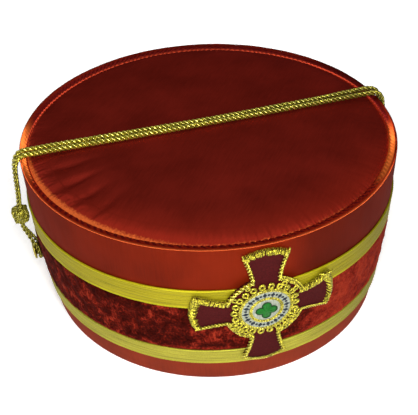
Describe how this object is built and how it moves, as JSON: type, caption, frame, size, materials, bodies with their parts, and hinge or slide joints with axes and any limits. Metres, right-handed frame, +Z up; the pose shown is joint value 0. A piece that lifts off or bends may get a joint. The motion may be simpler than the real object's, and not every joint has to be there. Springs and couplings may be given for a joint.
{
  "type": "masonic cap",
  "caption": "Round flared satin cap with a padded crown, gold braids round a crushed velvet band, a double gold cord with slide knots and an embroidered cross badge.",
  "frame": {"origin": "centre of the base rim, on the surface that the cap stands on", "axes": "+Z up, square to the base rim; -Y towards the front with the badge; +X to the wearer's left"},
  "size_m": [0.2227, 0.2148, 0.0962],
  "materials": {
    "band_satin": "rust red satin, glossy along the weave",
    "crown_satin": "deep red satin over padding",
    "braid": "woven gold braid, ribbed lengthwise",
    "velvet": "crushed red velvet",
    "cord": "twisted metallic gold cord",
    "button": "satin gilt",
    "badge_cloth": "maroon velvet cloth, matt",
    "bullion": "gold bullion wire, bright",
    "white_silk": "white satin stitch",
    "green_silk": "green satin stitch"
  },
  "bodies": {
    "root": {"side_wall": "band_satin", "top_panel": "crown_satin", "lower_braid": "braid", "upper_braid": "braid", "velvet_band": "velvet", "cord_front": "cord", "cord_back": "cord", "cord_loop_left": "cord", "cord_loop_right": "cord", "knot_left": "cord", "knot_right": "cord", "button_left": "button", "button_right": "button", "badge_ground": "badge_cloth", "badge_border": "bullion", "medallion_loops": "bullion", "medallion_rim": "bullion", "medallion_ring": "bullion", "medallion_band": "white_silk", "medallion_disc": "white_silk", "rosette": "green_silk"}
  },
  "joints": []
}
